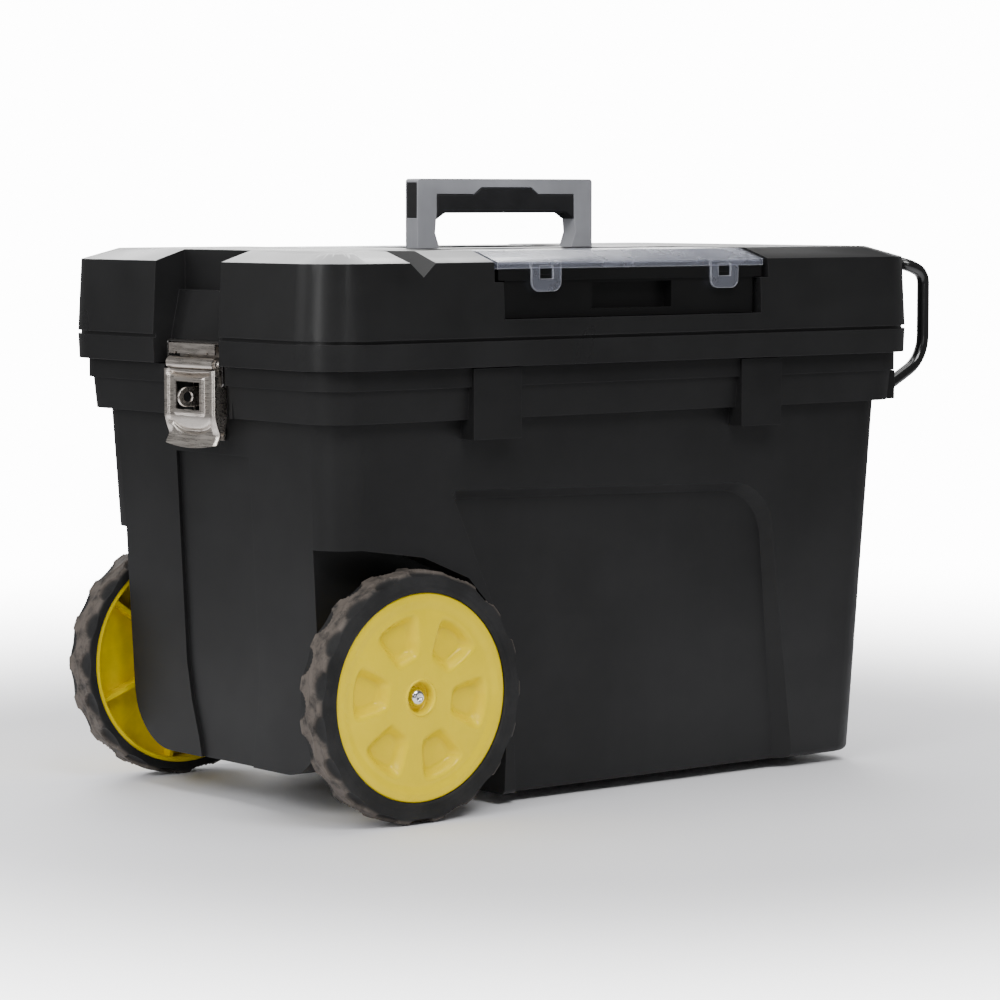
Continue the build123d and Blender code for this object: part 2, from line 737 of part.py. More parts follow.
def make_lever():
    """Pressed lever: a rolled barrel at the top, a window, side rails and a flared lip."""
    profile = [(-latch_pivot_x - 3.9, latch_pivot_z), (-274.4, 285), (-272.4, 270), (-275.2, 258.6)]
    path = FilletPolyline(*profile, radius=6)
    strip = Plane.XZ * trace(path, line_width=sheet)
    lever = Pos(0, -latch_half_width, 0) * extrude(strip, 2 * latch_half_width, dir=(0, 1, 0))
    for y in (-latch_half_width, latch_half_width - rail_width):
        lever += Pos(-0.8, y, 0) * extrude(strip, rail_width, dir=(0, 1, 0))
    half = strike_half_width
    lever -= box((-290, -250), (half, 40), (311, 330)) + box((-290, -250), (-40, -half), (311, 330))
    lever += rod_along_y(barrel_radius, -latch_pivot_x, latch_pivot_z, (-half, half))
    flange = [(-274.6, 310), (-274.6, 285), (-270.6, 271), (-267, 271)]
    flange += [(-264.5, 280), (-264.5, 308), (-267, 310)]
    for sign in (-1, 1):
        lever += prism_y(flange, (sign * latch_half_width, sign * (latch_half_width - sheet)))
        lever -= rod_along_y(bail_wire_radius + running_gap, *bail_pivot, (sign * 28, sign * 40))
    border = window_half_width + 3.5
    lever += box((-276.9, -274.2), (-border, border), (window_z[0] - 3.5, window_z[1] + 3.5))
    lever -= box((-280, -266), (-window_half_width, window_half_width), window_z)
    return lever - rod_along_y(latch_pin_radius + running_gap, -latch_pivot_x, latch_pivot_z, (-40, 40))


def make_pivot_pin():
    """Pin through the lever's barrel and the base's ears."""
    reach = ear_y[1] + 0.3
    return rod_along_y(latch_pin_radius, -latch_pivot_x, latch_pivot_z, (-reach, reach))


def make_bail():
    """Wire loop that hooks over the strike, with its ends turned into the lever's flanges."""
    inner_y = latch_half_width - sheet - 0.6
    path = FilletPolyline(
        (bail_pivot[0], -inner_y, bail_pivot[1]),
        (bail_pivot[0], -bail_y, bail_pivot[1]),
        (bail_top[0], -bail_y, bail_top[1]),
        (bail_top[0], bail_y, bail_top[1]),
        (bail_pivot[0], bail_y, bail_pivot[1]),
        (bail_pivot[0], inner_y, bail_pivot[1]),
        radius=2.0,
    )
    start = Plane(origin=path @ 0, z_dir=path % 0)
    return sweep(start * Circle(bail_wire_radius), path=path)


def make_strike():
    """Folded plate on the lid that the wire loop pulls down on."""
    front, wall_x = strike_x
    half = strike_half_width
    face = box((front, front + sheet), (-half, half), strike_z)
    back = box((wall_x - sheet, wall_x), (-half, half), (320, strike_z[1]))
    shelf = box((front, wall_x), (-half, half), (strike_z[1] - sheet, strike_z[1]))
    strike = shelf + face + back
    for y in strike_rivets_y:
        strike -= rod_along_x(1.8, y, strike_rivet_z, (-275, -255))
    return strike


def make_strike_rivet(y):
    """Rivet that holds the strike on the lid."""
    outside = strike_x[1] - sheet
    shank = rod_along_x(1.8, y, strike_rivet_z, (outside, strike_x[1]))
    return shank + rod_along_x(3, y, strike_rivet_z, (outside - 1, outside))


latch_pieces = {
    "latch_base": [make_latch_base()],
    "latch_rivets": [make_latch_rivet(y, z) for y, z in base_rivets],
    "padlock_staple": [make_staple()],
    "latch_lever": [make_lever()],
    "latch_pivot_pin": [make_pivot_pin()],
    "latch_bail": [make_bail()],
    "strike_plate": [make_strike()],
    "strike_rivets": [make_strike_rivet(y) for y in strike_rivets_y],
}
for end, sign in ends:
    for name, solids in latch_pieces.items():
        if sign < 0:
            solids = [Pos(right_reach, 0, 0) * mirror(s, Plane.YZ) for s in solids]
        save(f"{name}_{end}", *solids)


# ---------------------------------------------------------------- tow handle
def make_tow_handle():
    """One bent rod: two long legs in the tub and a C-shaped loop outside the right end."""
    leg = [
        (tow_inner_x, -rod_y, rod_z),
        (289, -rod_y, rod_z),
        (tow_outer_x, -rod_y, 310.6),
        (tow_outer_x, -rod_y, 377.5),
        (tow_crossbar_x, -rod_y, tow_crossbar_z),
    ]
    route = leg + [(x, -y, z) for x, y, z in reversed(leg)]
    path = FilletPolyline(*route, radius=[12, 30, 12, 11, 11, 12, 30, 12])
    start = Plane(origin=path @ 0, z_dir=path % 0)
    return sweep(start * Circle(rod_radius), path=path)


def make_guide():
    """Long channel on the tub's inner ledge that carries one leg of the tow handle."""
    channel = box(guide_x, (-rod_y - 8, -rod_y + 8), guide_z)
    foot = box(guide_x, (-rod_y - 16, -rod_y - 7), (guide_z[0], guide_z[0] + 3))
    guide = channel + foot - rod_along_x(rod_radius + rod_slide_gap, -rod_y, rod_z, (-beyond_x, beyond_x))
    guide -= rod_along_x(stop_radius + 0.3, -rod_y, rod_z, (-beyond_x, guide_mouth_x))
    for x in guide_screws_x:
        guide -= Pos(x, -rod_y - 12.5, guide_z[0]) * Cylinder(screw_radius, 20)
    return guide


def make_guide_screw(x):
    """Pan-headed screw through the guide's foot."""
    top = guide_z[0] + 3
    shank = Pos(x, -rod_y - 12.5, top - 1.5) * Cylinder(screw_radius, 3)
    return shank + Pos(x, -rod_y - 12.5, top + 0.9) * Cylinder(2.9, 1.8)


def make_bush():
    """Flanged bush that guides a leg through the end wall."""
    face_x = rim_half_length[1] + right_reach
    bush = rod_along_x(bush_radius, -rod_y, rod_z, (face_x - 10, face_x + 2))
    bush += rod_along_x(bush_radius + 2.5, -rod_y, rod_z, (face_x, face_x + 2))
    return bush - rod_along_x(rod_radius + rod_slide_gap, -rod_y, rod_z, (200, beyond_x))


def make_stop():
    """Collar on the inner end of a leg that keeps it in its guide."""
    collar = rod_along_x(stop_radius, -rod_y, rod_z, stop_x)
    return collar - rod_along_x(rod_radius, -rod_y, rod_z, (-300, 0))


save("tow_handle", make_tow_handle())
save("tow_bushes", make_bush(), mirror(make_bush(), Plane.XZ))
save("tow_stops", make_stop(), mirror(make_stop(), Plane.XZ))
for side, sign in sides:
    guide = make_guide()
    save(f"tow_guide_{side}", guide if sign > 0 else mirror(guide, Plane.XZ))
screws = [make_guide_screw(x) for x in guide_screws_x]
save("guide_screws", *screws, *(mirror(s, Plane.XZ) for s in screws))


# ---------------------------------------------------------------- tote tray
def make_tray():
    """Lift-out tray that hangs by its flanges on the two guides."""
    flange_z = (tray_flange_z, tray_flange_z + tray_wall)
    outside = box(tray_x, (-tray_half_width, tray_half_width), (tray_floor_z, flange_z[1]))
    outside = fillet(outside.edges().filter_by(Axis.Z), 12)
    inner_x = (tray_x[0] + tray_wall, tray_x[1] - tray_wall)
    inner_y = (-tray_half_width + tray_wall, tray_half_width - tray_wall)
    cavity = box(inner_x, inner_y, (tray_floor_z + tray_wall, tray_flange_z + 10))
    cavity = fillet(cavity.edges().filter_by(Axis.Z), 9.5)
    flange = box(tray_x, (-tray_half_width - 12, tray_half_width + 12), flange_z)
    tray = outside + flange - cavity
    middle_x = sum(tray_x) / 2
    for sign in (-1, 1):
        y = (sign * (tray_half_width - tray_wall), sign * (tray_half_width + 6))
        lug = box((middle_x - 9, middle_x + 9), y, (tray_flange_z, 318))
        tray += lug - rod_along_y(2.5, middle_x, 311, y)
    return tray


def make_tray_handle():
    """Flat bar across the tray, snapped into its two upright lugs."""
    middle_x = sum(tray_x) / 2
    reach = tray_half_width - 2.8
    bar = box((middle_x - 11, middle_x + 11), (-reach, reach), (305, 317))
    bar = fillet(bar.edges().filter_by(Axis.Y), 4)
    return bar + rod_along_y(2.5, middle_x, 311, (-reach - 6, reach + 6))


save("tote_tray", make_tray())
save("tote_tray_handle", make_tray_handle())
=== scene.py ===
import json
import math

import bmesh
import bpy
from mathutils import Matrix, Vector

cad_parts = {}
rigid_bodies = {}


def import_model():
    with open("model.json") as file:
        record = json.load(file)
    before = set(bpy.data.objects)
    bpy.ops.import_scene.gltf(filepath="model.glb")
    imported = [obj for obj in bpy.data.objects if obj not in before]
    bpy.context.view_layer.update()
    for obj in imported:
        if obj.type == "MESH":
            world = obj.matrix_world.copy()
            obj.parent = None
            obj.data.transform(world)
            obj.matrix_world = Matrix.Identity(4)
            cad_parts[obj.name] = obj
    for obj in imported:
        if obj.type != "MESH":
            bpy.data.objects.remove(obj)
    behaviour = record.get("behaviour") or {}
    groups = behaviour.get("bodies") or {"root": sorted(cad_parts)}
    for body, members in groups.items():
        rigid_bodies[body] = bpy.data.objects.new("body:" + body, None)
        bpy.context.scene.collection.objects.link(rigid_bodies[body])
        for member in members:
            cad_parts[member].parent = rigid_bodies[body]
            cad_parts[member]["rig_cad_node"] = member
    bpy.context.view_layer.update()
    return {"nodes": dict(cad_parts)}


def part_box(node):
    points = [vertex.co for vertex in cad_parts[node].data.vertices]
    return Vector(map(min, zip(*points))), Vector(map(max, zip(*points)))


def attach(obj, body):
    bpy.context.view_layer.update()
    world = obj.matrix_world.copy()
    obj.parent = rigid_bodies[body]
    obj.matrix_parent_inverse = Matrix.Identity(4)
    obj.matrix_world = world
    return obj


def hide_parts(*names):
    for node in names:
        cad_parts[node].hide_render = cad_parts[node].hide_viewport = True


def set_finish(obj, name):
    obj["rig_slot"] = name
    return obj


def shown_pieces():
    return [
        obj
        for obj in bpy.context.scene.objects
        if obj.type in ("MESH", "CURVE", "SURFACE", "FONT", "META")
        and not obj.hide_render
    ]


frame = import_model()
nodes = frame["nodes"]
MM = 0.001


# ---------------------------------------------------------------- small helpers
def smooth(edge0, edge1, x):
    """0 before edge0, 1 after edge1, and a smooth step between them."""
    t = max(0.0, min(1.0, (x - edge0) / (edge1 - edge0)))
    return t * t * (3 - 2 * t)


def make_object(name, verts, faces, body, slot, replaced=(), angle=35):
    """Mesh object in the row frame that rides on a body and takes its finish from a slot."""
    mesh = bpy.data.meshes.new(name)
    mesh.from_pydata([tuple(v) for v in verts], [], [tuple(f) for f in faces])
    bm = bmesh.new()
    bm.from_mesh(mesh)
    bmesh.ops.recalc_face_normals(bm, faces=bm.faces)
    for face in bm.faces:
        face.smooth = True
    bm.to_mesh(mesh)
    bm.free()
    mesh.set_sharp_from_angle(angle=math.radians(angle))
    obj = bpy.data.objects.new(name, mesh)
    bpy.context.scene.collection.objects.link(obj)
    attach(obj, body)
    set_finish(obj, slot)
    if replaced:
        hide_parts(*replaced)
    return obj


def ring_faces(rows, columns, closed_rows=True, closed_columns=True):
    """Quads of a grid whose rows and columns can each close on themselves."""
    faces = []
    for i in range(rows if closed_rows else rows - 1):
        for j in range(columns if closed_columns else columns - 1):
            a = i * columns + j
            b = i * columns + (j + 1) % columns
            c = ((i + 1) % rows) * columns + (j + 1) % columns
            d = ((i + 1) % rows) * columns + j
            faces.append((a, b, c, d))
    return faces


# ---------------------------------------------------------------- materials
class Nodes:
    """Builds one material's node tree."""

    def __init__(self, name):
        self.material = bpy.data.materials.new(name)
        self.material.use_nodes = True
        self.tree = self.material.node_tree
        self.tree.nodes.clear()
        self.output = self.tree.nodes.new("ShaderNodeOutputMaterial")
        self.shader = self.tree.nodes.new("ShaderNodeBsdfPrincipled")
        self.link(self.shader.outputs[0], self.output.inputs[0])
        self.place = self.tree.nodes.new("ShaderNodeTexCoord").outputs["Object"]

    def link(self, a, b):
        self.tree.links.new(a, b)

    def put(self, socket, value):
        if hasattr(value, "is_output"):
            self.link(value, socket)
        else:
            socket.default_value = value

    def node(self, kind, **values):
        """New node; each value sets a property of that name, or else the input of that name."""
        made = self.tree.nodes.new(kind)
        for key, value in values.items():
            if hasattr(made, key):
                setattr(made, key, value)
            else:
                self.put(made.inputs[key.replace("_", " ")], value)
        return made

    def noise(self, scale, detail=3.0, rough=0.5, stretch=(1, 1, 1), seed=0.0):
        offset = (seed, seed * 0.7, seed * 1.3)
        moved = self.node("ShaderNodeMapping", Vector=self.place, Scale=stretch, Location=offset)
        made = self.node("ShaderNodeTexNoise", Vector=moved.outputs[0], Scale=scale)
        made.inputs["Detail"].default_value = detail
        made.inputs["Roughness"].default_value = rough
        return made.outputs[0]

    def ramp(self, value, low, high, to_low=0.0, to_high=1.0):
        """Smooth step from to_low at low to to_high at high."""
        made = self.node("ShaderNodeMapRange", interpolation_type="SMOOTHSTEP")
        for i, v in enumerate((value, low, high, to_low, to_high)):
            self.put(made.inputs[i], v)
        return made.outputs[0]

    def mix(self, share, a, b):
        made = self.node("ShaderNodeMix", data_type="RGBA")
        for i, v in ((0, share), (6, a), (7, b)):
            self.put(made.inputs[i], v)
        return made.outputs[2]

    def math(self, kind, a, b=0.0):
        made = self.node("ShaderNodeMath", operation=kind)
        self.put(made.inputs[0], a)
        self.put(made.inputs[1], b)
        return made.outputs[0]

    def edges(self, radius=0.0012):
        """1 within a radius (in metres) of an edge, 0 on flat faces."""
        rounded = self.node("ShaderNodeBevel", samples=6, Radius=radius)
        agree = self.node("ShaderNodeVectorMath", operation="DOT_PRODUCT")
        self.link(rounded.outputs[0], agree.inputs[0])
        self.link(self.node("ShaderNodeNewGeometry").outputs["Normal"], agree.inputs[1])
        return self.ramp(agree.outputs["Value"], 0.98, 0.80)

    def bump(self, height, strength, distance, below=None):
        """Relief from a height, laid over another relief if one is given."""
        made = self.node("ShaderNodeBump", Strength=strength, Distance=distance, Height=height)
        if below is not None:
            self.link(below, made.inputs["Normal"])
        return made.outputs[0]

    def set(self, **inputs):
        """Sets the shader's inputs and gives the finished material back."""
        for key, value in inputs.items():
            self.put(self.shader.inputs[key.replace("_", " ")], value)
        return self.material


def grey(v):
    """Grey with a touch of blue."""
    return (v, v, v * 1.03, 1)


def scaled(colour, k):
    """The colour made k times as bright."""
    return tuple(min(1.0, c * k) for c in colour[:3]) + (1,)


def moulded(name, colour, rough, grain=0.05, grain_scale=1500, edge_wear_and_highlight=0.5, gloss=0.0, specular=0.32):
    """Moulded plastic: faint flow marks, fine grain, edges painted lighter as rubbed wear and painted
    highlight, and light handling marks.
    """
    m = Nodes(name)
    cloud = m.noise(9, 4, 0.6)
    fine = m.noise(grain_scale, 2, 0.6)
    streak = m.noise(14, 5, 0.65, stretch=(1, 1, 0.12), seed=3.1)
    base = m.mix(m.ramp(cloud, 0.35, 0.65), scaled(colour, 0.86), scaled(colour, 1.16))
    base = m.mix(m.math("MULTIPLY", m.ramp(streak, 0.45, 0.8), 0.35), base, scaled(colour, 1.6))
    rubbed = m.ramp(m.noise(11, 3, 0.5, stretch=(1, 1, 2.2), seed=8.4), 0.45, 0.75)
    base = m.mix(m.math("MULTIPLY", rubbed, 0.25), base, scaled(colour, 1.7))
    # edges painted lighter: partly rubbed wear, partly a painted highlight along the bevels
    base = m.mix(m.math("MULTIPLY", m.edges(), edge_wear_and_highlight), base, scaled(colour, 3.2))
    roughness = m.ramp(m.noise(9, 3, 0.5, seed=5.0), 0.3, 0.7, rough - 0.05, rough + 0.06)
    normal = m.bump(fine, grain, 0.0002)
    m.set(Base_Color=base, Roughness=roughness, Normal=normal, Specular_IOR_Level=specular)
    return m.set(IOR=1.47, Coat_Weight=gloss, Coat_Roughness=0.12)


def metal(name, colour, rough, brushed=(1, 1, 1), scratch=0.15, tarnish=0.25):
    """Plated or bright metal: brushing, small scratches and cloudy tarnish."""
    m = Nodes(name)
    cloud = m.ramp(m.noise(70, 5, 0.65, seed=2.2), 0.45, 0.75)
    brush = m.noise(900, 3, 0.6, stretch=brushed, seed=4.0)
    base = m.mix(m.math("MULTIPLY", cloud, tarnish), colour, (0.40, 0.33, 0.26, 1))
    base = m.mix(m.math("MULTIPLY", brush, 0.10), base, scaled(colour, 0.7))
    roughness = m.ramp(brush, 0.3, 0.7, rough - 0.06, rough + 0.10)
    normal = m.bump(brush, scratch, 0.00005)
    normal = m.bump(m.noise(60, 2, 0.5, seed=6.0), 0.10, 0.0015, normal)
    m.set(Base_Color=base, Roughness=roughness, Normal=normal, Metallic=1.0)
    return m.material


def yellow_plastic(name, colour):
    """Glossy moulded yellow under a thin clear coat, with painted shade in its concave corners."""
    m = Nodes(name)
    cloud = m.ramp(m.noise(16, 4, 0.6), 0.3, 0.7)
    base = m.mix(cloud, scaled(colour, 0.93), scaled(colour, 1.05))
    pointy = m.node("ShaderNodeNewGeometry").outputs["Pointiness"]
    patchy = m.ramp(m.noise(120, 5, 0.7, seed=2.0), 0.35, 0.65)
    # painted shade: concave corners and pocket walls (low pointiness) darken to brown-yellow, broken up
    # by noise
    dust_and_corner_shade = m.math("MULTIPLY", m.ramp(pointy, 0.49, 0.42), patchy)
    base = m.mix(m.math("MULTIPLY", dust_and_corner_shade, 0.35), base, (0.33, 0.26, 0.05, 1))
    scuff = m.ramp(m.noise(90, 6, 0.75, seed=9.0), 0.68, 0.76)
    base = m.mix(m.math("MULTIPLY", scuff, 0.18), base, (0.45, 0.38, 0.12, 1))
    roughness = m.ramp(m.noise(40, 5, 0.6, seed=4.4), 0.3, 0.7, 0.22, 0.36)
    normal = m.bump(m.noise(55, 3, 0.5, seed=7.0), 0.10, 0.0015)
    m.set(Base_Color=base, Roughness=roughness, Normal=normal, Specular_IOR_Level=0.12)
    return m.set(Coat_Weight=0.18, Coat_Roughness=0.05)


def tyre_rubber(name, centre, tread_radius):
    """Dark rubber; the tread's tops are dusty grey-brown, the grooves and side stay dark."""
    dust_colour = (0.125, 0.105, 0.090, 1)
    speck_colour = (0.045, 0.040, 0.036, 1)
    m = Nodes(name)
    local = m.node("ShaderNodeVectorMath", operation="SUBTRACT")
    m.link(m.place, local.inputs[0])
    local.inputs[1].default_value = centre
    flat = m.node("ShaderNodeVectorMath", operation="MULTIPLY")
    m.link(local.outputs[0], flat.inputs[0])
    flat.inputs[1].default_value = (1, 0, 1)
    length = m.node("ShaderNodeVectorMath", operation="LENGTH")
    m.link(flat.outputs[0], length.inputs[0])
    top = m.ramp(length.outputs["Value"], tread_radius - 0.0035, tread_radius - 0.0006)
    dust_and_corner_shade = m.ramp(m.noise(90, 6, 0.7, seed=1.1), 0.25, 0.6)
    dark = m.mix(m.ramp(m.noise(30, 5, 0.6), 0.35, 0.65), grey(0.010), grey(0.017))
    base = m.mix(m.math("MULTIPLY", top, m.math("MULTIPLY", dust_and_corner_shade, 0.9)), dark, dust_colour)
    specks = m.ramp(m.noise(260, 4, 0.7, seed=3), 0.6, 0.72)
    base = m.mix(m.math("MULTIPLY", specks, 0.2), base, speck_colour)
    roughness = m.ramp(m.noise(50, 4, 0.6, seed=5.5), 0.3, 0.7, 0.62, 0.82)
    normal = m.bump(m.noise(1100, 3, 0.6), 0.25, 0.0003)
    normal = m.bump(m.noise(140, 4, 0.6, seed=2.5), 0.2, 0.0006, normal)
    return m.set(Base_Color=base, Roughness=roughness, Normal=normal, Specular_IOR_Level=0.3)


def milky_clear(name):
    """Milky clear plastic: light goes through it, hazed, with edges painted near-white and less clear: a
    painted highlight on the rims, partly wear.
    """
    m = Nodes(name)
    haze = m.ramp(m.noise(12, 3, 0.5), 0.3, 0.7)
    base = m.mix(haze, (0.48, 0.50, 0.59, 1), (0.56, 0.58, 0.67, 1))
    edge = m.edges(0.0009)
    # edges painted near-white and less clear: a painted highlight on the rims, partly wear
    base = m.mix(edge, base, (0.90, 0.91, 0.94, 1))
    roughness = m.ramp(m.noise(30, 3, 0.6, seed=3.3), 0.3, 0.7, 0.20, 0.30)
    normal = m.bump(m.noise(700, 2, 0.5, seed=4.1), 0.05, 0.0002)
    m.set(Base_Color=base, Roughness=roughness, Normal=normal, IOR=1.46)
    return m.set(Transmission_Weight=m.ramp(edge, 0.0, 1.0, 0.90, 0.55))


def rubber_grip(name, colour):
    """Soft-touch grip with a fine pebbled surface."""
    m = Nodes(name)
    cell = m.node("ShaderNodeTexVoronoi", Vector=m.place, Scale=1400.0)
    base = m.mix(m.ramp(m.noise(40, 4, 0.6), 0.35, 0.65), scaled(colour, 0.9), scaled(colour, 1.15))
    # edges painted lighter: partly rubbed wear, partly a painted highlight along the bevels
    base = m.mix(m.math("MULTIPLY", m.edges(), 0.4), base, scaled(colour, 2.0))
    roughness = m.ramp(m.noise(60, 4, 0.6, seed=2), 0.3, 0.7, 0.5, 0.66)
    return m.set(Base_Color=base, Roughness=roughness, Normal=m.bump(cell.outputs[0], 0.25, 0.0003))


NICKEL = (0.66, 0.61, 0.56, 1)
wheel_front_low, wheel_front_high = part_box("tyre_front")
wheel_centre = (wheel_front_low + wheel_front_high) / 2
wheel_radius = (wheel_front_high.z - wheel_front_low.z) / 2
MATERIALS = {
    "body_black": moulded("body_black", grey(0.0092), 0.46, grain=0.10, specular=0.28),
    "lid_black": moulded("lid_black", grey(0.0115), 0.30, grain=0.04, edge_wear_and_highlight=0.4, specular=0.42),
    "wheel_yellow": yellow_plastic("wheel_yellow", (0.82, 0.62, 0.0, 1)),
    "tyre_black": tyre_rubber("tyre_black", (wheel_centre.x, 0, wheel_centre.z), wheel_radius),
    "plated_steel": metal("plated_steel", NICKEL, 0.30, brushed=(1, 0.06, 1)),
    "bright_steel": metal("bright_steel", (0.72, 0.71, 0.70, 1), 0.22, tarnish=0.1),
    "chrome": metal("chrome", (0.80, 0.81, 0.83, 1), 0.12, scratch=0.05, tarnish=0.05),
    # a darkened copy of the steel: painted shade and dark reflection on the wire bail
    "wire_steel": metal("wire_steel", (0.16, 0.155, 0.15, 1), 0.14, scratch=0.05, tarnish=0.2),
    "rod_black": moulded(
        "rod_black", grey(0.007), 0.18, grain=0.02, edge_wear_and_highlight=0.2, gloss=0.6, specular=0.5
    ),
    "nylon_black": moulded("nylon_black", grey(0.009), 0.50, grain=0.10),
    "handle_grey": moulded("handle_grey", (0.32, 0.325, 0.35, 1), 0.42, grain=0.12, edge_wear_and_highlight=0.05),
    "grip_black": rubber_grip("grip_black", (0.010, 0.010, 0.0115, 1)),
    "bin_black": moulded("bin_black", grey(0.0045), 0.34, grain=0.06, edge_wear_and_highlight=0.3),
    "tray_black": moulded("tray_black", grey(0.009), 0.50, grain=0.10),
    "clear_plastic": milky_clear("clear_plastic"),
}


# ---------------------------------------------------------------- tyres
def angle_off(theta, period, phase):
    """Signed angle from the nearest multiple of period, in degrees."""
    return (theta - phase + period / 2) % period - period / 2


LUG_PERIOD = 20.0
SCOOP_HALF_ANGLE = 7.2
SCOOP_REACH = 10.5 * MM
SCOOP_DEPTH = 4.2 * MM
SHOULDER_RADIUS = 4.5 * MM
RIDGE_HEIGHT, RIDGE_WIDTH, RIDGE_SWING = 0.7 * MM, 1.3 * MM, 2.2 * MM
SIDE_LINE_DEPTH, SIDE_LINE_WIDTH, SIDE_LINE_OFFSET = 0.35 * MM, 0.6 * MM, 5.0 * MM
TYRE_STEPS = 720
# the disc fills the tyre's outer side, and behind a lip this deep its rim is wider
DISC_RADIUS = 73.7 * MM
TYRE_LIP = 9.3 * MM


def scoop(theta, into, phase):
    """Depth of the half-moon scoops that bite into one shoulder of the tread."""
    a = angle_off(theta, LUG_PERIOD, phase) / SCOOP_HALF_ANGLE
    inside = 1 - a * a - (into / SCOOP_REACH) ** 2
    return SCOOP_DEPTH * smooth(0.0, 0.22, inside) * (0.55 + 0.45 * max(0.0, inside))


def tyre_profile(radius, half, rim):
    """The tyre's section as (radius, distance towards the box), from the rim round to the rim."""
    turn = [math.radians(90 * k / 6) for k in range(1, 7)]
    shoulder = SHOULDER_RADIUS
    bend = [(radius - shoulder * (1 - math.sin(a)), half - shoulder * (1 - math.cos(a))) for a in turn]
    outer_side = radius - shoulder - DISC_RADIUS
    inner_side = radius - shoulder - rim
    steps = 26
    profile = [(rim, -half + TYRE_LIP), (DISC_RADIUS, -half + TYRE_LIP)]
    profile += [(DISC_RADIUS, -half + 1.0 * MM), (DISC_RADIUS + 1.2 * MM, -half)]
    profile += [(DISC_RADIUS + outer_side * k / 9, -half) for k in range(2, 10)]
    profile += [(r, -w) for r, w in bend]
    profile += [(radius, (half - shoulder) * (2 * k / steps - 1)) for k in range(1, steps)]
    profile += bend[::-1]
    profile += [(rim + inner_side * k / 4, half) for k in (4, 3, 2, 1)]
    return profile + [(rim + 0.3 * MM, half), (rim, half - 0.6 * MM)]


def make_tyre(side, sign):
    """Tyre with half-moon scoops in both shoulders, a wavy ridge and a line round its side."""
    low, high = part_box(f"tyre_{side}")
    centre = (low + high) / 2
    radius = (high.z - low.z) / 2
    half = (high.y - low.y) / 2
    rim_low, rim_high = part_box(f"wheel_{side}")
    profile = tyre_profile(radius, half, (rim_high.z - rim_low.z) / 2)
    verts = []
    for k in range(TYRE_STEPS):
        theta = 360.0 * k / TYRE_STEPS
        c, s = math.cos(math.radians(theta)), math.sin(math.radians(theta))
        for r, w in profile:
            r2, w2 = r, w
            for edge, phase in ((-1, 0.0), (1, LUG_PERIOD / 2)):
                deep = scoop(theta, half - w * edge, phase)
                if r > radius - deep:
                    r2 = min(r2, radius - deep)
            if r2 > radius - 0.1 * MM:
                wave = math.sin(math.radians(theta * 360 / LUG_PERIOD)) * RIDGE_SWING
                ridge = math.exp(-(((w - wave) / RIDGE_WIDTH) ** 2))
                r2 = r2 - RIDGE_HEIGHT + RIDGE_HEIGHT * ridge
            if w < -half + 0.1 * MM:
                line = math.exp(-(((r - DISC_RADIUS - SIDE_LINE_OFFSET) / SIDE_LINE_WIDTH) ** 2))
                w2 += SIDE_LINE_DEPTH * line
            verts.append((centre.x + r2 * s, centre.y + sign * w2, centre.z + r2 * c))
    faces = ring_faces(TYRE_STEPS, len(profile))
    return make_object(
        f"tyre_tread_{side}", verts, faces, f"wheel_{side}", "tyre_black", [f"tyre_{side}"], 42
    )


# ---------------------------------------------------------------- wheel discs
POCKET_COUNT = 6
POCKET_RADII = (28 * MM, 58 * MM)
POCKET_HALF_ANGLE = 19.0
POCKET_PHASE = 38.0
POCKET_DEPTH = 7.2 * MM
POCKET_ROUNDING = 2.6 * MM
BORE_RADIUS = 5.05 * MM
RECESS_RADIUS, RECESS_DEPTH = 11.0 * MM, 9.2 * MM
WEB_BACK = 11.4 * MM
RIM_WALL = 3.5 * MM
DISH_DEPTH = 1.1 * MM
RIB_HALF_WIDTH = 1.5 * MM
DISC_STEPS = 300
FACE_STEPS = 58


def pocket_depth(r, theta):
    """Depth of the wheel's sunken pockets at a radius and angle."""
    off = math.radians(abs(angle_off(theta, 360 / POCKET_COUNT, POCKET_PHASE)))
    side = r * math.sin(off - math.radians(POCKET_HALF_ANGLE))
    borders = (r - POCKET_RADII[1], POCKET_RADII[0] - r, side)
    outside = POCKET_ROUNDING * math.log(sum(math.exp(d / POCKET_ROUNDING) for d in borders))
    return POCKET_DEPTH * smooth(1.4 * MM, -5.6 * MM, outside)


def disc_outline(rim, lip_end, rim_end, depth):
    """The disc's section as (radius, depth from the outer face), and which of it is the face."""
    recess = RECESS_RADIUS
    outline = [(BORE_RADIUS, RECESS_DEPTH), (recess - 1.2 * MM, RECESS_DEPTH)]
    outline += [(recess - 0.3 * MM, RECESS_DEPTH - 0.8 * MM), (recess, 1.6 * MM)]
    outline += [(recess + 0.5 * MM, 0.7 * MM), (recess + 1.5 * MM, 0.3 * MM)]
    face_start = len(outline)
    first, last = recess + 2.5 * MM, DISC_RADIUS - 2.0 * MM
    outline += [(first + (last - first) * k / FACE_STEPS, 0.25 * MM) for k in range(FACE_STEPS + 1)]
    face = range(face_start, len(outline))
    outline += [(DISC_RADIUS - 1.2 * MM, 0.35 * MM), (DISC_RADIUS - 0.4 * MM, 0.8 * MM)]
    outline += [(DISC_RADIUS, 1.7 * MM), (DISC_RADIUS, lip_end), (rim, lip_end)]
    outline += [(rim, rim_end - 0.6 * MM), (rim - 0.6 * MM, rim_end)]
    outline += [(rim - RIM_WALL + 0.6 * MM, rim_end), (rim - RIM_WALL, rim_end - 0.6 * MM)]
    outline += [(rim - 4.2 * MM, 13.5 * MM), (rim - 5.0 * MM, 12.0 * MM), (rim - 7.0 * MM, WEB_BACK)]
    outline += [(19 * MM, WEB_BACK), (16 * MM, 13.0 * MM)]
    outline += [(15 * MM, depth - 1.0 * MM), (14.2 * MM, depth)]
    outline += [(BORE_RADIUS + 0.6 * MM, depth), (BORE_RADIUS, depth - 0.6 * MM)]
    return outline, face


